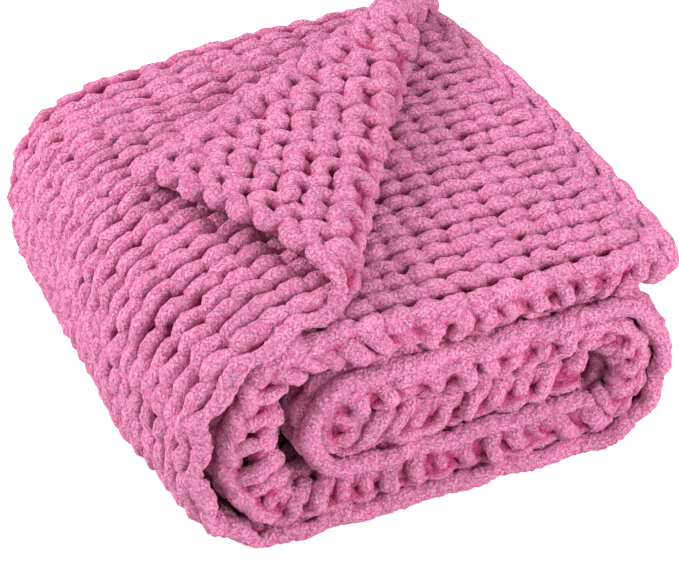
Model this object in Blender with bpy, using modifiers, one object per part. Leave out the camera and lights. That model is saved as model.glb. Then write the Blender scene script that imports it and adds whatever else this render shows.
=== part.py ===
# A chunky knitted throw: one panel folded in thirds, rolled flat into a
# bundle, with the outer corner turned back over the top.
# Metres, Z up. The bundle rests on Z = 0. X is the direction of the roll,
# and the ends of the folded thirds face front (-Y) and back (+Y).
import math

import bmesh
import bpy
from mathutils import Vector

# The knit cloth
PITCH = 0.0178           # from one layer of the stack to the next
CLOTH = 0.0125           # thickness of the pressed cloth
WALES = 11               # knit columns in each folded third
RIB_SHOWN = 0.0032       # height of a wale where the cloth is seen
RIB_HIDDEN = 0.0010      # height of a wale inside the stack

# The stack of three thirds, seen from the front
FRONT_Y = -0.209         # free selvage of the outer third
BACK_Y = 0.197           # where the outer third turns into the inner third
FRONT_FOLD_Y = -0.199    # where the inner third turns into the middle third
HIDDEN_EDGE_Y = 0.193    # free selvage of the middle third, inside the back fold

# The roll, as centres and reaches of its bends
LEFT_X = -0.125          # centre of the outer bend on the left
RIGHT_X = 0.145          # centre of the bend on the right
TURN_X = -0.064          # centre of the tight inner turn
CORE_END_X = 0.138       # inner end of the cloth
OUTER_END_X = 0.194      # outer end of the cloth
LEFT_REACH = 0.082       # how far the outer third bulges left of LEFT_X
LEFT_SPREAD = 0.033      # looser spacing of the layers in that bend
RIGHT_REACH = 0.062
RIGHT_SPREAD = 0.0175
TURN_REACH = 0.045
TURN_SPREAD = 0.0168
SQUARENESS = 0.85        # under 1 makes the left bends boxier than round

# Heights of the stretches, in layers from the ground to the outer third
TOP_LEVEL = 11.5
BOTTOM_LEVEL = 0.5
INNER_LEVEL = 8.5
CORE_LEVEL = 3.5
LEFT_LEVEL = (TOP_LEVEL + BOTTOM_LEVEL) / 2
LEFT_RISE = (TOP_LEVEL - BOTTOM_LEVEL) / 2
RIGHT_LEVEL = (INNER_LEVEL + BOTTOM_LEVEL) / 2
RIGHT_RISE = (INNER_LEVEL - BOTTOM_LEVEL) / 2
TURN_LEVEL = (INNER_LEVEL + CORE_LEVEL) / 2
TURN_RISE = (INNER_LEVEL - CORE_LEVEL) / 2

# The corner of the outer third turned back over the top
CREASE_FRONT = Vector((-0.088, -0.184))
CREASE_BACK = Vector((0.166, 0.197))
FLAP_END_FRONT = 0.140   # unfolded end of the cloth at the front selvage
FLAP_END_BACK = 0.184    # the same at the back fold
FLAP_BEND = 0.0105       # bend radius of the crease
TIGHTEST_BEND = 0.0095   # radius that the cloth keeps where the crease runs out
FLAP_LIFT = 0.008        # how far the loose corner stands off the cloth
SELVAGE_SLANT = -0.018   # drift of the front selvage beyond the crease
SELVAGE_PULL = 0.080     # length over which the selvage is drawn back
CREASE_SHARE = 0.6       # most of the flap that its crease may take up
CREASE_FADE = 0.93       # share of the width where the crease starts to fade

# How much the bundle departs from a regular stack. Waves are in radians a metre.
SLUMP = 0.022            # share by which the heights waver
SLUMP_WAVES = (9.0, 6.0)
LEAN = 0.006             # sideways waver of the stack at half its height
LEAN_WAVES = 11.0
RAGGED = 0.0035          # how far single layers stand out at the ends
RAGGED_WAVES = (43.0, 61.0)
RAGGED_FROM = (0.08, 0.20)
BARREL = 0.009           # bulge of the left side between its ends
BARREL_BACK = (0.06, 0.26)    # where it fades towards the back
BARREL_FRONT = (0.06, 0.21)   # where the side is drawn in towards the front
BARREL_PINCH = 1.9
BACK_SAG = 0.085         # share by which the back left corner sinks
END_BULGE = 0.009        # bulge of the outer end on the right
END_BULGE_X = (0.08, 0.194)
END_BULGE_Z = (0.09, 0.17)
UNDERCUT = 0.013         # how far the end face slopes in towards the ground
UNDERCUT_FROM = (0.05, 0.21)
HALF_LENGTH = 0.20       # from the middle to each side
GROUND = 0.0032          # level where the bundle's weight presses it flat

# Mesh steps along the roll and across the thirds
ROLL_STEPS = (
    ("top", 17),
    ("left", 9),
    ("bottom", 3),
    ("right", 7),
    ("inner", 3),
    ("turn", 7),
    ("core", 3),
)
WIDTH_STEPS = (
    ("outer", 2 * WALES),
    ("back", 3),
    ("lining", 4),
    ("front", 4),
    ("middle", 2 * WALES),
)
FLAP_ROWS = 7            # rows of the top stretch on the turned back corner
CREASE_ROWS = 3          # rows round its crease

CREASE_ALONG = (CREASE_BACK - CREASE_FRONT).normalized()
CREASE_ACROSS = Vector((CREASE_ALONG.y, -CREASE_ALONG.x))

COLOUR = (0.72, 0.24, 0.40, 1.0)
ROUGHNESS = 0.95


def clear_scene():
    for item in list(bpy.data.objects):
        bpy.data.objects.remove(item, do_unlink=True)


def mix(a, b, t):
    return a + (b - a) * t


def ease(low, high, value):
    t = min(1.0, max(0.0, (value - low) / (high - low)))
    return t * t * (3.0 - 2.0 * t)


def stations(steps):
    """Name and share of each mesh line, with stretches joined end to end."""
    lines = [(steps[0][0], 0.0)]
    for name, count in steps:
        lines += [(name, (k + 1) / count) for k in range(count)]
    return lines


def front_edge(x, travel=None):
    """Front selvage of the outer third, drawn back towards the crease."""
    if x > CREASE_FRONT.x:
        return CREASE_FRONT.y - SELVAGE_SLANT * (x - CREASE_FRONT.x)
    if travel is None:
        travel = CREASE_FRONT.x - x
    return mix(CREASE_FRONT.y, FRONT_Y, ease(0.0, SELVAGE_PULL, travel))


def crease_side(x, y):
    """Distance right of the crease line, in plan."""
    return (Vector((x, y)) - CREASE_FRONT).dot(CREASE_ACROSS)


def column_at(x, share):
    return Vector((x, mix(front_edge(x), BACK_Y, share)))


def column_reaches(distance, share):
    """Point of one outer column at a given distance right of the crease."""
    low, high = -0.3, 0.4
    for _ in range(40):
        x = (low + high) / 2
        point = column_at(x, share)
        if crease_side(point.x, point.y) < distance:
            low = x
        else:
            high = x
    return column_at((low + high) / 2, share)


def flap_span(share):
    """Distance from the crease to the end of the cloth on one column."""
    end = column_at(mix(FLAP_END_FRONT, FLAP_END_BACK, share), share)
    return crease_side(end.x, end.y)


def crease_width(share):
    return min(math.pi * FLAP_BEND, CREASE_SHARE * flap_span(share))


def top_surface(x):
    """Height of the outer third where it starts down the left bend."""
    if x >= LEFT_X:
        return TOP_LEVEL * PITCH
    slope = min(0.95, (LEFT_X - x) / LEFT_REACH)
    return (LEFT_LEVEL + LEFT_RISE * boxy(math.sqrt(1 - slope * slope))) * PITCH


def outer_row(row, share):
    """Unfolded plan point of the outer third on one row of the top stretch."""
    steps = dict(ROLL_STEPS)["top"]
    if row <= FLAP_ROWS:
        distance = mix(flap_span(share), crease_width(share), row / FLAP_ROWS)
        return column_reaches(distance, share)
    if row <= FLAP_ROWS + CREASE_ROWS:
        part = (row - FLAP_ROWS) / CREASE_ROWS
        return column_reaches(crease_width(share) * (1 - part), share)
    start = column_reaches(0.0, share).x
    part = (row - FLAP_ROWS - CREASE_ROWS) / (steps - FLAP_ROWS - CREASE_ROWS)
    return column_at(mix(start, LEFT_X, part), share)


def turned_back(plan, share):
    """Fold an unfolded plan point over the crease and lay it on the top."""
    distance = crease_side(plan.x, plan.y)
    if distance <= 0:
        return Vector((plan.x, plan.y, top_surface(plan.x)))
    width = crease_width(share)
    angle = min(math.pi, width / TIGHTEST_BEND) * (1 - ease(CREASE_FADE, 1.0, share))
    bend = min(distance, width)
    beyond = distance - bend
    turn = angle * bend / width
    if angle > 0.01:
        radius = width / angle
        sideways = radius * math.sin(turn)
        upward = radius * (1 - math.cos(turn))
    else:
        sideways = bend
        upward = 0.0
    sideways += beyond * math.cos(angle)
    upward += beyond * math.sin(angle)
    along = (plan - CREASE_FRONT).dot(CREASE_ALONG)
    flat = CREASE_FRONT + CREASE_ALONG * along + CREASE_ACROSS * sideways
    loose = FLAP_LIFT * (1 - share) ** 2 * ease(0.0, 0.05, beyond)
    return Vector((flat.x, flat.y, top_surface(flat.x) + upward + loose))


def boxy(value):
    return math.copysign(abs(value) ** SQUARENESS, value)


def bend_point(centre_x, centre_level, reach_x, reach_level, angle):
    across = math.cos(angle)
    upward = math.sin(angle)
    if across < 0:
        across = boxy(across)
        upward = boxy(upward)
    return centre_x + reach_x * across, (centre_level + reach_level * upward) * PITCH


def roll_section(stretch, part, depth):
    """X and Z of the roll at a depth of 0 (outer) to 2 (inner) layers."""
    if stretch == "top":
        return mix(OUTER_END_X, LEFT_X, part), (TOP_LEVEL - depth) * PITCH
    if stretch == "left":
        angle = math.pi * (0.5 + part)
        reach = LEFT_REACH - LEFT_SPREAD * depth
        return bend_point(LEFT_X, LEFT_LEVEL, reach, LEFT_RISE - depth, angle)
    if stretch == "bottom":
        return mix(LEFT_X, RIGHT_X, part), (BOTTOM_LEVEL + depth) * PITCH
    if stretch == "right":
        angle = math.pi * (part - 0.5)
        reach = RIGHT_REACH - RIGHT_SPREAD * depth
        return bend_point(RIGHT_X, RIGHT_LEVEL, reach, RIGHT_RISE - depth, angle)
    if stretch == "inner":
        return mix(RIGHT_X, TURN_X, part), (INNER_LEVEL - depth) * PITCH
    if stretch == "turn":
        angle = math.pi * (0.5 + part)
        reach = TURN_REACH - TURN_SPREAD * depth
        return bend_point(TURN_X, TURN_LEVEL, reach, TURN_RISE - depth, angle)
    return mix(TURN_X, CORE_END_X, part), (CORE_LEVEL + depth) * PITCH


def width_section(zone, part, front):
    """Y and depth of one column line across the folded thirds."""
    if zone == "outer":
        return mix(front, BACK_Y, part), 0.0
    if zone == "back":
        turn = math.pi * part
        return BACK_Y + PITCH * math.sin(turn), 1 - math.cos(turn)
    if zone == "lining":
        return mix(BACK_Y, FRONT_FOLD_Y, part), 2.0
    if zone == "front":
        turn = math.pi * part
        return FRONT_FOLD_Y - PITCH / 2 * math.sin(turn), 1.5 + math.cos(turn) / 2
    return mix(FRONT_FOLD_Y, HIDDEN_EDGE_Y, part), 1.0


def folded(row, line, zone, part):
    """Place of one mesh point in the regular stack."""
    stretch, share = line
    if stretch == "top" and zone == "outer":
        return turned_back(outer_row(row, part), part)
    front = FRONT_Y
    if stretch == "left":
        travel = CREASE_FRONT.x - LEFT_X + share * math.pi * LEFT_REACH
        front = front_edge(LEFT_X, travel)
    y, depth = width_section(zone, part, front)
    x, z = roll_section(stretch, share, depth)
    if stretch == "top" and zone in ("back", "lining"):
        follow = 1.0 if zone == "back" else 1 - part
        x = mix(x, outer_row(row, 1.0).x, follow)
    return Vector((x, y, z))


def settled(point):
    """Let the regular stack slump a little, with ragged ends."""
    x, y, z = point
    height = TOP_LEVEL * PITCH
    wave = math.sin(SLUMP_WAVES[0] * x + 1.0) * math.cos(SLUMP_WAVES[1] * y - 0.4)
    lean = LEAN * math.sin(math.pi * z / height) * math.sin(LEAN_WAVES * y + 0.8)
    ragged = RAGGED * math.sin(RAGGED_WAVES[0] * x + RAGGED_WAVES[1] * z)
    ragged *= ease(*RAGGED_FROM, abs(y))
    middle = 1 - ease(*BARREL_BACK, y) - BARREL_PINCH * ease(*BARREL_FRONT, -y)
    barrel = BARREL * ease(0.0, HALF_LENGTH, -x) * middle
    upper = ease(*END_BULGE_X, x) * ease(*END_BULGE_Z, z)
    bulge = END_BULGE * upper * (1 - (y / HALF_LENGTH) ** 2)
    undercut = UNDERCUT * (1 - z / height) * ease(*UNDERCUT_FROM, -y)
    sag = BACK_SAG * ease(0.0, HALF_LENGTH, -x) * ease(0.0, HALF_LENGTH, y)
    rise = z * (SLUMP * wave - sag)
    ends = ragged * math.copysign(1.0, y) + undercut
    return Vector((x + lean - barrel + bulge, y + ends, z + rise))


def rib_height(stretch, zone, part, point):
    if zone not in ("outer", "middle") or stretch in ("bottom", "core"):
        return 0.0
    if zone == "outer" and stretch == "top":
        return RIB_SHOWN * (1 - ease(0.75, 0.95, part))
    if zone == "outer":
        return RIB_SHOWN if stretch == "left" else RIB_HIDDEN
    if stretch != "top":
        return RIB_HIDDEN
    beside = ease(0.0, 0.02, crease_side(point.x, point.y))
    before = ease(0.0, 0.015, front_edge(point.x) - point.y)
    return mix(RIB_HIDDEN, RIB_SHOWN, max(beside, before))


def folded_sheet(name):
    """The folded cloth as one surface, with its wales raised."""
    rows = stations(ROLL_STEPS)
    columns = stations(WIDTH_STEPS)
    mesh = bpy.data.meshes.new(name)
    bm = bmesh.new()
    bmesh.ops.create_grid(bm, x_segments=len(columns) - 1, y_segments=len(rows) - 1, size=0.5)
    ordered = sorted(bm.verts, key=lambda v: (round(v.co.y, 5), round(v.co.x, 5)))
    ribs = []
    for index, vert in enumerate(ordered):
        row, column = divmod(index, len(columns))
        zone, part = columns[column]
        place = folded(row, rows[row], zone, part)
        rib = rib_height(rows[row][0], zone, part, place)
        ribs.append(rib if column % 2 else -rib)
        vert.co = settled(place)
    bm.normal_update()
    moves = [vert.normal * rib for vert, rib in zip(ordered, ribs)]
    for vert, move in zip(ordered, moves):
        vert.co += move
    bm.to_mesh(mesh)
    bm.free()
    return mesh


def thicken(item):
    solid = item.modifiers.new("Thickness", "SOLIDIFY")
    solid.thickness = CLOTH
    solid.offset = 0.0
    solid.use_rim = True
    solid.use_quality_normals = True
    depsgraph = bpy.context.evaluated_depsgraph_get()
    mesh = bpy.data.meshes.new_from_object(item.evaluated_get(depsgraph))
    item.modifiers.clear()
    item.data = mesh


def rest_on_ground(item):
    """Lower the bundle to Z = 0 and press its underside flat."""
    for vert in item.data.vertices:
        vert.co.z = max(0.0, vert.co.z - GROUND)


def centre(item):
    xs = [v.co.x for v in item.data.vertices]
    ys = [v.co.y for v in item.data.vertices]
    shift = Vector(((min(xs) + max(xs)) / 2, (min(ys) + max(ys)) / 2, 0.0))
    for vert in item.data.vertices:
        vert.co -= shift


def make_material():
    material = bpy.data.materials.new("Pink chenille knit")
    material.use_nodes = True
    shader = material.node_tree.nodes["Principled BSDF"]
    shader.inputs["Base Color"].default_value = COLOUR
    shader.inputs["Roughness"].default_value = ROUGHNESS
    shader.inputs["Metallic"].default_value = 0.0
    return material


def main():
    clear_scene()
    collection = bpy.data.collections.new("Chunky knit throw")
    bpy.context.scene.collection.children.link(collection)
    blanket = bpy.data.objects.new("blanket", folded_sheet("blanket"))
    collection.objects.link(blanket)
    thicken(blanket)
    rest_on_ground(blanket)
    centre(blanket)
    blanket.data.materials.clear()
    blanket.data.materials.append(make_material())


main()
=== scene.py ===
# The looks of the chunky knit throw: every stitch as a strand of chenille
# yarn laid on the folded cloth, in metres, with Z up.
import math

import bpy
import numpy as np
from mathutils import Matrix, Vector


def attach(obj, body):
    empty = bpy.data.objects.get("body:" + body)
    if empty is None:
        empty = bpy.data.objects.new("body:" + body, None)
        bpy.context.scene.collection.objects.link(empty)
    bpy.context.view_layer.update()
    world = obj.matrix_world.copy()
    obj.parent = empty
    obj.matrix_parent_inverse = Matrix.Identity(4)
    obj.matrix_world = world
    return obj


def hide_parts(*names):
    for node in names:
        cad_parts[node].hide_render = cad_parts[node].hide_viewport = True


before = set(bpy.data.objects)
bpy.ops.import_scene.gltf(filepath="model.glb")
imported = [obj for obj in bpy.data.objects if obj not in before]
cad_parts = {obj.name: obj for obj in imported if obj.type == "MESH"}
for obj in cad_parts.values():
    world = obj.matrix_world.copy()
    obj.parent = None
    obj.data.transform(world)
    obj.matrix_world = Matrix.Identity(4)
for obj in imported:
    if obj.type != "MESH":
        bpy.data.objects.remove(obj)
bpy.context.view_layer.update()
rng = np.random.default_rng(7)

# The same folds as the CAD solid. Stations 0 to 7 run along the roll from
# the outer end, and wales 0 to 33 run across the three folded thirds.
fold = {
    "pitch": 0.0178,           # from one layer to the next
    "frontY": -0.209,          # free selvage of the outer third
    "backY": 0.197,            # outer third turns into the lining here
    "frontFoldY": -0.199,      # lining turns into the middle third here
    "hiddenEdgeY": 0.193,      # selvage inside the back fold
    "leftX": -0.125,
    "rightX": 0.145,
    "turnX": -0.064,
    "coreEndX": 0.138,
    "outerEndX": 0.194,
    "leftReach": (0.082, 0.033),
    "rightReach": (0.062, 0.0175),
    "turnReach": (0.045, 0.0168),
    "squareness": 0.85,
    "flapEnd": (0.140, 0.184),
    "flapBend": 0.0105,
    "tightestBend": 0.0095,
    "flapLift": 0.008,
    "selvageSlant": -0.018,
    "selvagePull": 0.080,
    "creaseShare": 0.6,
    "creaseFade": 0.93,
    "slump": 0.022,
    "slumpWaves": (9.0, 6.0),
    "lean": 0.006,
    "leanWaves": 11.0,
    "ragged": 0.0035,
    "raggedWaves": (43.0, 61.0),
    "raggedFrom": (0.08, 0.20),
    "barrel": 0.009,
    "barrelBack": (0.06, 0.26),
    "barrelFront": (0.06, 0.21),
    "barrelPinch": 1.9,
    "backSag": 0.085,
    "endBulge": 0.009,
    "endBulgeX": (0.08, 0.194),
    "endBulgeZ": (0.09, 0.17),
    "undercut": 0.013,
    "undercutFrom": (0.05, 0.21),
    "halfLength": 0.20,
    "ground": 0.0032,
}
creaseFront = np.array([-0.088, -0.184])
creaseBack = np.array([0.166, 0.197])
creaseAlong = (creaseBack - creaseFront) / np.linalg.norm(creaseBack - creaseFront)
creaseAcross = np.array([creaseAlong[1], -creaseAlong[0]])

# Where each zone of the cloth starts, in wales
zoneEdges = np.array([0.0, 10.5, 11.95, 22.1, 22.85, 33.0])


def mix(a, b, t):
    return a + (b - a) * t


def ease(low, high, value):
    t = np.clip((value - low) / (high - low), 0.0, 1.0)
    return t * t * (3.0 - 2.0 * t)


def boxy(value):
    return np.copysign(np.abs(value) ** fold["squareness"], value)


# Front selvage of the outer third, drawn back towards the crease.
def frontEdge(x, travel=None):
    if travel is None:
        travel = creaseFront[0] - x
    pulled = mix(creaseFront[1], fold["frontY"], ease(0.0, fold["selvagePull"], travel))
    slanted = creaseFront[1] - fold["selvageSlant"] * (x - creaseFront[0])
    return np.where(x > creaseFront[0], slanted, pulled)


def creaseSide(x, y):
    return (x - creaseFront[0]) * creaseAcross[0] + (y - creaseFront[1]) * creaseAcross[1]


def topSurface(x):
    slope = np.clip((fold["leftX"] - x) / fold["leftReach"][0], 0.0, 0.95)
    return (6.0 + 5.5 * boxy(np.sqrt(1 - slope * slope))) * fold["pitch"]


def flapSpan(share):
    x = mix(fold["flapEnd"][0], fold["flapEnd"][1], share)
    return creaseSide(x, mix(frontEdge(x), fold["backY"], share))


# Fold plan points over the diagonal crease and lay them on the top.
def turnedBack(x, y, share):
    distance = creaseSide(x, y)
    width = np.minimum(math.pi * fold["flapBend"], fold["creaseShare"] * flapSpan(share))
    angle = np.minimum(math.pi, width / fold["tightestBend"])
    angle = np.maximum(angle * (1 - ease(fold["creaseFade"], 1.0, share)), 0.001)
    bend = np.clip(distance, 0.0, width)
    beyond = np.maximum(distance - width, 0.0)
    turn = angle * bend / width
    radius = width / angle
    sideways = radius * np.sin(turn) + beyond * np.cos(angle)
    upward = radius * (1 - np.cos(turn)) + beyond * np.sin(angle)
    along = (x - creaseFront[0]) * creaseAlong[0] + (y - creaseFront[1]) * creaseAlong[1]
    flatX = creaseFront[0] + creaseAlong[0] * along + creaseAcross[0] * sideways
    flatY = creaseFront[1] + creaseAlong[1] * along + creaseAcross[1] * sideways
    loose = fold["flapLift"] * (1 - share) ** 2 * ease(0.0, 0.05, beyond)
    folded = distance > 0
    newX = np.where(folded, flatX, x)
    newY = np.where(folded, flatY, y)
    return newX, newY, topSurface(newX) + np.where(folded, upward + loose, 0.0)


# X and Z of the roll at a depth of 0 (outer) to 2 (inner) layers.
def rollSection(stretch, part, depth):
    half = math.pi * (0.5 + part)
    back = math.pi * (part - 0.5)

    def bend(centreX, level, reach, rise, angle):
        across = np.cos(angle)
        upward = np.sin(angle)
        upward = np.where(across < 0, boxy(upward), upward)
        across = np.where(across < 0, boxy(across), across)
        return centreX + (reach[0] - reach[1] * depth) * across, level + (rise - depth) * upward

    straight = [
        (mix(fold["outerEndX"], fold["leftX"], part), 11.5 - depth),
        bend(fold["leftX"], 6.0, fold["leftReach"], 5.5, half),
        (mix(fold["leftX"], fold["rightX"], part), 0.5 + depth),
        bend(fold["rightX"], 4.5, fold["rightReach"], 4.0, back),
        (mix(fold["rightX"], fold["turnX"], part), 8.5 - depth),
        bend(fold["turnX"], 6.0, fold["turnReach"], 2.5, half),
        (mix(fold["turnX"], fold["coreEndX"], part), 3.5 + depth),
    ]
    x = np.choose(stretch, [s[0] for s in straight])
    level = np.choose(stretch, [s[1] for s in straight])
    return x, level * fold["pitch"]


def zoneOf(wale):
    zone = np.clip(np.searchsorted(zoneEdges, wale, side="right") - 1, 0, 4)
    part = (wale - zoneEdges[zone]) / (zoneEdges[zone + 1] - zoneEdges[zone])
    return zone, part


# Middle of the cloth at a station along the roll and a wale across it.
def clothPoint(station, wale):
    stretch = np.clip(np.floor(station).astype(int), 0, 6)
    share = station - stretch
    zone, part = zoneOf(wale)
    turn = math.pi * part
    travel = creaseFront[0] - fold["leftX"] + share * math.pi * fold["leftReach"][0]
    front = np.where(stretch == 1, frontEdge(fold["leftX"] + 0 * share, travel), fold["frontY"])
    y = np.choose(zone, [
        mix(front, fold["backY"], part),
        fold["backY"] + fold["pitch"] * np.sin(turn),
        mix(fold["backY"], fold["frontFoldY"], part),
        fold["frontFoldY"] - fold["pitch"] / 2 * np.sin(turn),
        mix(fold["frontFoldY"], fold["hiddenEdgeY"], part),
    ])
    depth = np.choose(zone, [
        0 * part,
        1 - np.cos(turn),
        2 + 0 * part,
        1.5 + np.cos(turn) / 2,
        1 + 0 * part,
    ])
    x, z = rollSection(stretch, share, depth)
    outerX = mix(mix(fold["flapEnd"][0], fold["flapEnd"][1], part), fold["leftX"], share)
    outerY = mix(frontEdge(outerX), fold["backY"], part)
    flapX, flapY, flapZ = turnedBack(outerX, outerY, np.clip(part, 0.0, 1.0))
    onTop = (stretch == 0) & (zone == 0)
    x = np.where(onTop, flapX, x)
    y = np.where(onTop, flapY, y)
    z = np.where(onTop, flapZ, z)
    seam = mix(fold["flapEnd"][1], fold["leftX"], share)
    follow = np.choose(zone, [0 * part, 1 + 0 * part, 1 - part, 0 * part, 0 * part])
    x = np.where(stretch == 0, mix(x, seam, follow), x)
    return settled(x, y, z)


# Let the regular stack slump a little, with ragged ends.
def settled(x, y, z):
    height = 11.5 * fold["pitch"]
    half = fold["halfLength"]
    wave = np.sin(fold["slumpWaves"][0] * x + 1.0) * np.cos(fold["slumpWaves"][1] * y - 0.4)
    lean = fold["lean"] * np.sin(math.pi * z / height) * np.sin(fold["leanWaves"] * y + 0.8)
    ragged = fold["ragged"] * np.sin(fold["raggedWaves"][0] * x + fold["raggedWaves"][1] * z)
    ragged = ragged * ease(*fold["raggedFrom"], np.abs(y))
    middle = 1 - ease(*fold["barrelBack"], y) - fold["barrelPinch"] * ease(*fold["barrelFront"], -y)
    barrel = fold["barrel"] * ease(0.0, half, -x) * middle
    upper = ease(*fold["endBulgeX"], x) * ease(*fold["endBulgeZ"], z)
    bulge = fold["endBulge"] * upper * (1 - (y / half) ** 2)
    undercut = fold["undercut"] * (1 - z / height) * ease(*fold["undercutFrom"], -y)
    sag = fold["backSag"] * ease(0.0, half, -x) * ease(0.0, half, y)
    newX = x + lean - barrel + bulge
    newY = y + np.copysign(ragged, y) + undercut
    return np.stack([newX, newY, z * (1 + fold["slump"] * wave - sag)], -1)


# Even rows along each third, measured on the folded cloth itself
rowTable = np.linspace(0.0, 7.0, 1401)


def evenStations(wale, unfolded):
    points = clothPoint(rowTable, np.full_like(rowTable, wale))
    steps = np.linalg.norm(np.diff(points, axis=0), axis=1)
    if unfolded:
        steps[rowTable[1:] <= 1.0] = (mix(*fold["flapEnd"], 0.5) - fold["leftX"]) / 200
    length = np.concatenate([[0.0], np.cumsum(steps)])
    return length / length[-1], length[-1]


outerShare, outerLength = evenStations(5.0, True)
liningShare, liningLength = evenStations(17.0, False)
middleShare, middleLength = evenStations(28.0, False)
print("cloth lengths", round(outerLength, 3), round(liningLength, 3), round(middleLength, 3))


# Station of a share of the cloth's length, evened along each third.
def stationOf(share, wale):
    zone, part = zoneOf(wale)
    outer = np.interp(share, outerShare, rowTable)
    lining = np.interp(share, liningShare, rowTable)
    middle = np.interp(share, middleShare, rowTable)
    blend = ease(0.0, 1.0, part)
    inside = np.choose(zone, [outer, mix(outer, lining, blend), lining, mix(lining, middle, blend), middle])
    return inside + np.minimum(share, 0.0) * 4.5


grid = clothPoint(*np.meshgrid(np.linspace(0, 7, 400), np.linspace(0, 33, 200)))
middleXY = (grid.reshape(-1, 3).max(0) + grid.reshape(-1, 3).min(0)) / 2
sinkZ = fold["ground"]


# Point at a height above the knit side of the cloth, and its normal.
def onCloth(share, wale, height):
    def at(s, w):
        return clothPoint(stationOf(s, w), w)

    step = 0.0008
    point = at(share, wale)
    down = at(share + step, wale) - at(share - step, wale)
    across = at(share, wale + 0.04) - at(share, wale - 0.04)
    normal = np.cross(across, down)
    normal /= np.maximum(np.linalg.norm(normal, axis=-1, keepdims=True), 1e-9)
    point = point + normal * height[..., None]
    point -= np.array([middleXY[0], middleXY[1], sinkZ])
    return point, normal


# The yarn and its loops
yarn = {
    "wales": 33,
    "rows": 60,
    "radius": 0.0081,          # half the width of the yarn, seen from above
    "spread": 0.06,            # how much fuller it lies on the inner third and the front fold
    "spreadFrom": (11.0, 12.0),
    "spreadTo": (24.0, 25.0),
    "purlSwell": 0.15,         # how much fuller it lies on the turned back corner
    "purlDepth": 0.70,         # share of the relief left there
    "creaseRow": 9.0,          # row where the corner's crease meets the selvage
    "creaseSlope": 0.755,      # rows that it moves with each wale
    "flatness": 0.88,          # how much it is pressed towards the cloth
    "loopHeight": 0.78,        # reach of a loop to each side of its row, in rows
    "loopWaist": 0.135,        # how far a loop widens at its head, in wales
    "relief": 0.0052,          # how far the legs stand forward and the heads back
    "frontFold": (22.30, 0.22, 0.50),  # wale in its middle, full to here, none from here
    "frontSink": 1.9,          # how far the relief turns over there
    "foldSwing": 0.40,         # unevenness of that along the roll
    "backFold": (11.2, 0.6, 1.5),
    "backLevel": 0.75,         # how far the relief is levelled there
    "overlap": 0.0045,         # how far a leg's foot stands before the leg below
    "puff": 0.14,              # legs are fuller than the heads they pass under
    "taper": 0.45,             # thickness left where a row ends in the selvage
    "drift": 0.0009,           # unevenness of the height
    "wander": 0.060,           # unevenness of the stitches, in rows and wales
    "thickVary": 0.08,         # unevenness of the yarn's thickness
    "lumps": 0.100,            # roughness of the pile's outline
    "resting": 1.06,           # height of the lowest yarns' middle, in half thicknesses
    "pressed": 0.06,           # share of their depth left below that
    "groove": 0.0010,          # height over the cloth's middle of the deepest pile, which gets the full painted groove shade
    "crest": 0.0090,           # and of the pile that stands in full light, with no painted shade
}
finest = (24, 14)              # rings on each stitch and sides of the yarn
fine = (19, 12)
coarse = (12, 7)


# Tubes round strands of equal length: their vertices, how far these stand out
# of the cloth, and the corners of each face
def tubes(paths, normals, radii, sides, flatness, rise, closed=False):
    count, steps = paths.shape[:2]
    if closed:
        tangent = np.roll(paths, -1, axis=1) - np.roll(paths, 1, axis=1)
    else:
        tangent = np.gradient(paths, axis=1)
    tangent /= np.maximum(np.linalg.norm(tangent, axis=-1, keepdims=True), 1e-9)
    sideways = np.cross(tangent, normals)
    sideways /= np.maximum(np.linalg.norm(sideways, axis=-1, keepdims=True), 1e-9)
    upward = np.cross(sideways, tangent)
    angles = np.arange(sides) * 2 * math.pi / sides
    wide = np.cos(angles)[:, None] * sideways[:, :, None, :]
    tall = np.sin(angles)[:, None] * upward[:, :, None, :] * flatness
    lumps = 1 + rng.normal(0, yarn["lumps"], (count, steps, sides, 1))
    verts = paths[:, :, None, :] + (wide + tall) * radii[:, :, None, None] * lumps
    lift = np.abs(rise[:, :, None] + np.sin(angles) * radii[:, :, None] * flatness)
    ring = np.arange(steps if closed else steps - 1)[:, None] * sides
    side = np.arange(sides)
    after = (side + 1) % sides
    size = steps * sides
    near = [ring + side, (ring + side + sides) % size]
    far = [(ring + after + sides) % size, ring + after]
    quad = np.stack(near + far, -1)
    base = np.arange(count)[:, None, None] * size
    faces = [(quad.reshape(1, -1, 4) + base).reshape(-1, 4)]
    if not closed:
        start = side + base[:, :, 0]
        finish = (steps - 1) * sides + side[::-1] + base[:, :, 0]
        faces += [start, finish]
    return verts.reshape(-1, 3), lift.reshape(-1), faces


# One closed mesh from several batches of tubes
def yarnPiece(name, batches):
    verts, lifts, corners, sizes = [], [], [], []
    offset = 0
    for points, lift, faces in batches:
        verts.append(points)
        lifts.append(lift)
        for group in faces:
            corners.append((group + offset).reshape(-1))
            sizes.append(np.full(len(group), group.shape[1]))
        offset += len(points)
    verts = np.concatenate(verts)
    verts[:, 2] = np.maximum(verts[:, 2], 0.0)
    corners = np.concatenate(corners)
    sizes = np.concatenate(sizes)
    starts = np.concatenate([[0], np.cumsum(sizes)[:-1]])
    mesh = bpy.data.meshes.new(name)
    mesh.vertices.add(len(verts))
    mesh.vertices.foreach_set("co", verts.reshape(-1).astype(np.float32))
    mesh.loops.add(len(corners))
    mesh.loops.foreach_set("vertex_index", corners.astype(np.int32))
    mesh.polygons.add(len(starts))
    mesh.polygons.foreach_set("loop_start", starts.astype(np.int32))
    mesh.polygons.foreach_set("loop_total", sizes.astype(np.int32))
    mesh.update(calc_edges=True)
    mesh.shade_smooth()
    # Painted shade mask: lift runs from 0 on the lowest pile in the grooves to 1 on the pile in full light
    lifts = ease(yarn["groove"], yarn["crest"], np.concatenate(lifts))
    mesh.attributes.new("lift", "FLOAT", "POINT").data.foreach_set("value", lifts.astype(np.float32))
    piece = bpy.data.objects.new(name, mesh)
    bpy.context.scene.collection.objects.link(piece)
    print("piece", name, int((sizes - 2).sum()), "triangles")
    return piece


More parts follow.
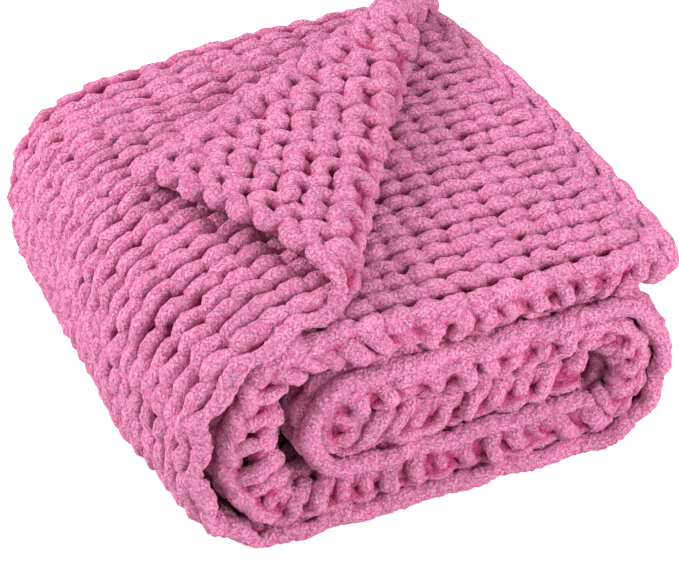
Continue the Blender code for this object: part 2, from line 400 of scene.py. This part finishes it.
# A smooth random field over rows and wales
def unevenness(row, wale, amount, seed):
    field = np.random.default_rng(seed).normal(0, amount, (80, 48))
    row = np.clip(row + 5, 0, 78.0)
    wale = np.clip(wale + 5, 0, 46.0)
    r = row.astype(int)
    w = wale.astype(int)
    partRow = ease(0.0, 1.0, row - r)
    partWale = ease(0.0, 1.0, wale - w)
    low = mix(field[r, w], field[r, w + 1], partWale)
    high = mix(field[r + 1, w], field[r + 1, w + 1], partWale)
    return mix(low, high, partRow)


# The lowest yarns are pressed flat, because the underside rests on the ground
def pressedFlat(paths):
    lowest = yarn["radius"] * yarn["flatness"] * yarn["resting"]
    z = paths[..., 2]
    paths[..., 2] = np.where(z < lowest, lowest + (z - lowest) * yarn["pressed"], z)
    return paths


# How far the legs stand out of the cloth. At the back fold they are nearly
# level, and at the front fold one row of legs sinks behind the loops' heads.
def reliefAt(row, wale):
    frontWale, frontFull, frontNone = yarn["frontFold"]
    backWale, backFull, backNone = yarn["backFold"]
    front = 1 - ease(frontFull, frontNone, np.abs(wale - frontWale))
    front = front * (1 + yarn["foldSwing"] * np.sin(1.7 * row))
    back = 1 - ease(backFull, backNone, np.abs(wale - backWale))
    return yarn["relief"] * (1 - yarn["frontSink"] * front - yarn["backLevel"] * back)


# Whether a stitch lies on the turned back corner, whose crease crosses the wales
def onCorner(row, wale):
    crease = yarn["creaseRow"] - yarn["creaseSlope"] * wale
    return 1 - ease(-0.5, 0.5, row - crease)


# The stitches of some wales and rows, one strand for each row
def stitches(firstWale, lastWale, firstRow, lastRow, detail):
    steps, sides = detail
    wales = lastWale - firstWale
    t = np.linspace(-math.pi, math.pi * (2 * wales - 1), wales * steps + 1)[None, :]
    rows = np.arange(firstRow, lastRow)[:, None] + 0.5 + 0 * t
    wale = firstWale + 0.5 + t / (2 * math.pi) + yarn["loopWaist"] * np.sin(2 * t) + 0 * rows
    row = rows - yarn["loopHeight"] * np.cos(t)
    height = -reliefAt(rows, wale) * np.cos(2 * t) * mix(1.0, yarn["purlDepth"], onCorner(rows, wale))
    height = height - yarn["overlap"] * np.cos(t) * np.sin(t) ** 2
    wale = wale + unevenness(rows, wale, yarn["wander"], 11)
    row = row + unevenness(rows, wale, yarn["wander"] * 1.4, 12)
    height = height + unevenness(rows, wale, yarn["drift"], 13)
    share = (row + 0.4) / (yarn["rows"] + 0.8)
    paths, normals = onCloth(share, np.clip(wale, -0.1, 33.1), height)
    radii = yarn["radius"] * (1 + unevenness(row * 1.7 % 60, wale, yarn["thickVary"], 14))
    radii = radii * (1 - yarn["puff"] * np.cos(2 * t) * (1 - onCorner(row, wale)))
    inner = ease(*yarn["spreadFrom"], wale) * (1 - ease(*yarn["spreadTo"], wale))
    radii = radii * (1 + yarn["purlSwell"] * onCorner(row, wale) + yarn["spread"] * inner)
    rounded = ease(0.0, 0.22, np.minimum(wale + 0.1, 33.1 - wale))
    radii = radii * (yarn["taper"] + (1 - yarn["taper"]) * rounded)
    return tubes(pressedFlat(paths), normals, radii, sides, yarn["flatness"], height)


seen = {"outer": 27, "inner": 16, "middle": 15}  # rows of each third that show from outside
print("stage: stitches")
outerThird = yarnPiece("outer_third", [
    stitches(0, 11, 0, seen["outer"], fine),
    stitches(0, 11, seen["outer"], yarn["rows"], coarse),
])
innerThird = yarnPiece("inner_third", [
    stitches(11, 21, 0, seen["inner"], fine),
    stitches(11, 21, seen["inner"], yarn["rows"], coarse),
])
frontFold = yarnPiece("front_fold", [stitches(21, 24, 0, yarn["rows"], finest)])
middleThird = yarnPiece("middle_third", [
    stitches(24, 33, 0, seen["middle"], finest),
    stitches(24, 33, seen["middle"], yarn["rows"], coarse),
])


# The chained edge at the end of the cloth, one link for each wale
chain = {
    "reach": 0.70,             # half the length of a link, in wales
    "width": 0.33,             # half its width, in rows
    "tilt": 0.0050,
    "height": 0.002,           # of its middle over the cloth's
    "radius": 0.0075,
    "vary": 0.04,              # unevenness of the radius
    "steps": 24,
}
edgeSides = 12                 # sides of the yarn along the cloth's edges


def chainedEdge(share):
    links = np.arange(yarn["wales"])[:, None]
    turn = np.arange(chain["steps"])[None, :] * 2 * math.pi / chain["steps"]
    wale = links + 0.5 + chain["reach"] * np.cos(turn)
    away = share + chain["width"] * np.sin(turn) / yarn["rows"] + 0 * links
    height = chain["height"] + chain["tilt"] * np.cos(turn) + 0 * links
    paths, normals = onCloth(away, np.clip(wale, -0.15, 33.15), height)
    radii = chain["radius"] * (1 + rng.normal(0, chain["vary"], (yarn["wales"], 1)) + 0 * turn)
    # Lifted clear of the painted groove shade
    rise = height + 2 * yarn["crest"]
    return tubes(pressedFlat(paths), normals, radii, edgeSides, 0.92, rise, closed=True)


# The rope of long edge stitches along a selvage, small ones on the turned back
# corner and loose ones down to the outer third's bend
rope = {
    "radius": 0.0087,
    "span": 2,                 # rows to each long edge stitch
    "pinch": 0.12,             # how much thinner it is between two of them
    "swing": 0.035,            # how far they lean to each side, in wales
    "rise": 0.0014,            # how far they lie over each other
    "loose": 21.0,             # rows whose long stitches lie loose like shingles
    "loosePinch": 0.42,
    "looseSwing": 0.075,
    "looseRise": 0.0036,
    "corner": 7.0,             # rows whose edge lies on the turned back corner
    "cornerPinch": 0.55,
    "cornerSwing": 0.10,
    "outset": 0.10,            # how far it lies outside the last wale, in wales
    "cornerInset": 0.16,
    "tuck": 0.003,             # how far it lies behind the corner's stitches
}


def selvage(wale, sign, tuck):
    steps = np.linspace(-0.3, yarn["rows"] + 0.3, yarn["rows"] * 9)[None, :]
    phase = steps * 2 * math.pi / rope["span"]
    along = (steps + 0.4) / (yarn["rows"] + 0.8)
    corner = tuck * (1 - ease(rope["corner"] - 1, rope["corner"], steps))
    loose = tuck * (1 - ease(rope["loose"], rope["loose"] + 2, steps)) * (1 - corner)
    swing = mix(rope["swing"], rope["looseSwing"], loose)
    outset = rope["outset"] - rope["cornerInset"] * corner
    across = wale + sign * outset + swing * np.sin(phase)
    across = across + rope["cornerSwing"] * corner * np.sin(2 * math.pi * steps + 0.6)
    height = mix(rope["rise"], rope["looseRise"], loose) * np.cos(phase) - rope["tuck"] * corner
    paths, normals = onCloth(along, across, height)
    pinch = mix(rope["pinch"], rope["loosePinch"], loose)
    long = 1 - pinch * (1 - np.abs(np.sin(phase / 2 + 0.4)))
    short = 1.05 - rope["cornerPinch"] * (1 - np.abs(np.sin(steps * math.pi)) ** 0.6)
    radii = rope["radius"] * mix(long, short, corner)
    # Lifted clear of the painted groove shade
    return tubes(pressedFlat(paths), normals, radii, edgeSides, 0.95, height + 2 * yarn["crest"])


boundEdge = yarnPiece("bound_edge", [chainedEdge(0.0)])
selvages = yarnPiece("selvages", [selvage(0.0, -1, 1.0), selvage(33.0, 1, 0.0)])

pieces = [outerThird, innerThird, frontFold, middleThird, boundEdge, selvages]
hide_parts("blanket")
for piece in pieces:
    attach(piece, "root")


# Chenille: a velvet pile in small clumps, with a painted shade of dark pink between the clumps and a
# painted highlight pale on their tops
pile = {
    "clumps": 400.0,           # clumps in a metre
    "roundness": 1.6,          # 1 is a cone, more is a flatter top and steeper sides
    "relief": 0.0031,          # height of the clumps
    "fibres": 1500.0,          # fibres' ends in a metre
    "nap": 0.0006,             # their height
    "fuzz": 0.6,               # how much single fibres change the tone
    "frays": 600.0,            # frays in a metre of a clump's edge
    "fray": 0.0034,            # and how far they push it
    "patches": 30.0,           # slow changes of tone in a metre
    "patchTone": (0.90, 1.06),
    "bodyAt": 0.40,            # share of a clump's height with the body's colour
    # painted shade for the pile lying lowest in the grooves between strands
    "grooveShade": (0.62, 0.060, 0.205, 1.0),
    # painted shade between the clumps, the pile's own colour, and a painted highlight on the clumps' tops
    "shade": (0.73, 0.130, 0.335, 1.0),
    "body": (0.97, 0.300, 0.545, 1.0),
    "tipHighlight": (1.00, 0.440, 0.690, 1.0),
    "sheen": 0.12,
}


# Frayed clumps and fibres as a height and as a tone for the painted shade and highlight, and slow patches
# of tone
def pileGroup():
    group = bpy.data.node_groups.new("Chenille pile", "ShaderNodeTree")
    for label in ("Clumps", "Roundness", "Relief", "Fibres", "Nap", "Fuzz"):
        group.interface.new_socket(label, in_out="INPUT", socket_type="NodeSocketFloat")
    group.interface.new_socket("Tip", in_out="OUTPUT", socket_type="NodeSocketFloat")
    group.interface.new_socket("Patch", in_out="OUTPUT", socket_type="NodeSocketFloat")
    group.interface.new_socket("Normal", in_out="OUTPUT", socket_type="NodeSocketVector")
    nodes, links = group.nodes, group.links
    inputs = nodes.new("NodeGroupInput")
    outputs = nodes.new("NodeGroupOutput")
    place = nodes.new("ShaderNodeTexCoord")
    bend = nodes.new("ShaderNodeTexNoise")
    bend.inputs["Scale"].default_value = pile["frays"]
    bend.inputs["Detail"].default_value = 2.0
    push = nodes.new("ShaderNodeVectorMath")
    push.operation = "MULTIPLY_ADD"
    push.inputs[1].default_value = (pile["fray"],) * 3
    clump = nodes.new("ShaderNodeTexVoronoi")
    clump.feature = "F1"
    rim = nodes.new("ShaderNodeMapRange")
    rim.inputs["From Max"].default_value = 0.80
    rounded = nodes.new("ShaderNodeMath")
    rounded.operation = "POWER"
    dome = nodes.new("ShaderNodeMapRange")
    dome.inputs["From Min"].default_value = 1.0
    dome.inputs["From Max"].default_value = 0.0
    fibre = nodes.new("ShaderNodeTexNoise")
    fibre.inputs["Detail"].default_value = 1.0
    centred = nodes.new("ShaderNodeMath")
    centred.operation = "SUBTRACT"
    centred.inputs[1].default_value = 0.5
    fuzzy = nodes.new("ShaderNodeMath")
    fuzzy.operation = "MULTIPLY_ADD"
    patch = nodes.new("ShaderNodeTexNoise")
    patch.inputs["Scale"].default_value = pile["patches"]
    patch.inputs["Detail"].default_value = 3.0
    fine = nodes.new("ShaderNodeBump")
    coarse = nodes.new("ShaderNodeBump")
    links.new(place.outputs["Object"], bend.inputs["Vector"])
    links.new(bend.outputs["Color"], push.inputs[0])
    links.new(place.outputs["Object"], push.inputs[2])
    links.new(push.outputs["Vector"], clump.inputs["Vector"])
    links.new(place.outputs["Object"], fibre.inputs["Vector"])
    links.new(place.outputs["Object"], patch.inputs["Vector"])
    links.new(inputs.outputs["Clumps"], clump.inputs["Scale"])
    links.new(inputs.outputs["Fibres"], fibre.inputs["Scale"])
    links.new(clump.outputs["Distance"], rim.inputs["Value"])
    links.new(rim.outputs["Result"], rounded.inputs[0])
    links.new(inputs.outputs["Roundness"], rounded.inputs[1])
    links.new(rounded.outputs[0], dome.inputs["Value"])
    links.new(dome.outputs["Result"], coarse.inputs["Height"])
    links.new(fibre.outputs["Fac"], fine.inputs["Height"])
    links.new(inputs.outputs["Relief"], coarse.inputs["Distance"])
    links.new(inputs.outputs["Nap"], fine.inputs["Distance"])
    links.new(coarse.outputs["Normal"], fine.inputs["Normal"])
    links.new(fibre.outputs["Fac"], centred.inputs[0])
    links.new(centred.outputs[0], fuzzy.inputs[0])
    links.new(inputs.outputs["Fuzz"], fuzzy.inputs[1])
    links.new(dome.outputs["Result"], fuzzy.inputs[2])
    links.new(fuzzy.outputs[0], outputs.inputs["Tip"])
    links.new(patch.outputs["Fac"], outputs.inputs["Patch"])
    links.new(fine.outputs["Normal"], outputs.inputs["Normal"])
    return group


def chenille():
    material = bpy.data.materials.new("Pink chenille")
    material.use_nodes = True
    nodes, links = material.node_tree.nodes, material.node_tree.links
    shader = nodes["Principled BSDF"]
    group = nodes.new("ShaderNodeGroup")
    group.node_tree = pileGroup()
    for label in ("Clumps", "Roundness", "Relief", "Fibres", "Nap", "Fuzz"):
        group.inputs[label].default_value = pile[label.lower()]
    # Painted shade in the creases between clumps, rising through the pile's own colour to a painted
    # highlight on their tops
    ramp = nodes.new("ShaderNodeValToRGB")
    ramp.color_ramp.elements[0].position = 0.0
    ramp.color_ramp.elements[0].color = pile["shade"]
    ramp.color_ramp.elements[1].position = 1.0
    ramp.color_ramp.elements[1].color = pile["tipHighlight"]
    middle = ramp.color_ramp.elements.new(pile["bodyAt"])
    middle.color = pile["body"]
    # Painted shade in the grooves between strands, mixed in where the pile lies low
    lift = nodes.new("ShaderNodeAttribute")
    lift.attribute_name = "lift"
    sink = nodes.new("ShaderNodeMix")
    sink.data_type = "RGBA"
    sink.inputs["A"].default_value = pile["grooveShade"]
    tone = nodes.new("ShaderNodeHueSaturation")
    slow = nodes.new("ShaderNodeMapRange")
    slow.inputs["From Min"].default_value = 0.3
    slow.inputs["From Max"].default_value = 0.7
    slow.inputs["To Min"].default_value = pile["patchTone"][0]
    slow.inputs["To Max"].default_value = pile["patchTone"][1]
    links.new(group.outputs["Patch"], slow.inputs["Value"])
    links.new(slow.outputs["Result"], tone.inputs["Value"])
    links.new(group.outputs["Tip"], ramp.inputs["Fac"])
    links.new(lift.outputs["Fac"], sink.inputs["Factor"])
    links.new(ramp.outputs["Color"], sink.inputs["B"])
    links.new(sink.outputs["Result"], tone.inputs["Color"])
    links.new(tone.outputs["Color"], shader.inputs["Base Color"])
    links.new(group.outputs["Normal"], shader.inputs["Normal"])
    shader.inputs["Roughness"].default_value = 0.95
    shader.inputs["Specular IOR Level"].default_value = 0.10
    shader.inputs["Sheen Weight"].default_value = pile["sheen"]
    shader.inputs["Sheen Roughness"].default_value = 0.5
    shader.inputs["Sheen Tint"].default_value = (1.0, 0.60, 0.80, 1.0)
    return material


chenilleMaterial = chenille()
for piece in pieces:
    piece.data.materials.append(chenilleMaterial)


# Pale floor and soft studio light
print("stage: studio")
studio = {
    "floor": 0.90,             # brightness of the sweep's own colour
    "glow": 0.55,              # how far the sweep is burnt out for the camera
    "sky": 0.56,
}


def sweepMaterial():
    material = bpy.data.materials.new("White sweep")
    material.use_nodes = True
    nodes, links = material.node_tree.nodes, material.node_tree.links
    shader = nodes["Principled BSDF"]
    shader.inputs["Base Color"].default_value = (studio["floor"], studio["floor"], studio["floor"], 1.0)
    shader.inputs["Roughness"].default_value = 0.9
    shader.inputs["Emission Color"].default_value = (1.0, 1.0, 1.0, 1.0)
    rays = nodes.new("ShaderNodeLightPath")
    glow = nodes.new("ShaderNodeMath")
    glow.operation = "MULTIPLY"
    glow.inputs[1].default_value = studio["glow"]
    links.new(rays.outputs["Is Camera Ray"], glow.inputs[0])
    links.new(glow.outputs[0], shader.inputs["Emission Strength"])
    return material


bpy.ops.mesh.primitive_plane_add(size=14.0, location=(0, 0, 0))
floor = bpy.context.object
floor.name = "floor"
floor.data.materials.append(sweepMaterial())

lamps = {
    "key": ((-1.7, 0.6, 1.3), 0.6, 47.0),
    "fill": ((1.0, -1.9, 0.8), 1.2, 46.0),
    "top": ((0.3, 1.1, 2.1), 0.9, 23.0),
}
for name, (place, size, power) in lamps.items():
    light = bpy.data.lights.new(name, "AREA")
    light.size = size
    light.energy = power
    lamp = bpy.data.objects.new(name, light)
    lamp.location = place
    lamp.rotation_euler = (Vector((0, 0, 0.1)) - Vector(place)).to_track_quat("-Z", "Y").to_euler()
    bpy.context.scene.collection.objects.link(lamp)

world = bpy.data.worlds.new("Studio")
world.use_nodes = True
world.node_tree.nodes["Background"].inputs["Color"].default_value = (1.0, 1.0, 1.0, 1.0)
world.node_tree.nodes["Background"].inputs["Strength"].default_value = studio["sky"]
bpy.context.scene.world = world
bpy.context.scene.view_settings.view_transform = "Standard"

# The photo's view: 35 degrees up, from the front left
shot = {
    "azimuth": -24.7,
    "elevation": 35.1,
    "distance": 1.96,
    "lens": 122.0,
    "target": (0.0105, -0.004, 0.078),
}
az = math.radians(shot["azimuth"])
el = math.radians(shot["elevation"])
away = Vector((math.sin(az) * math.cos(el), -math.cos(az) * math.cos(el), math.sin(el)))
camera = bpy.data.objects.new("camera", bpy.data.cameras.new("camera"))
camera.data.lens = shot["lens"]
camera.location = Vector(shot["target"]) + away * shot["distance"]
camera.rotation_euler = away.to_track_quat("Z", "Y").to_euler()
bpy.context.scene.collection.objects.link(camera)
bpy.context.scene.camera = camera
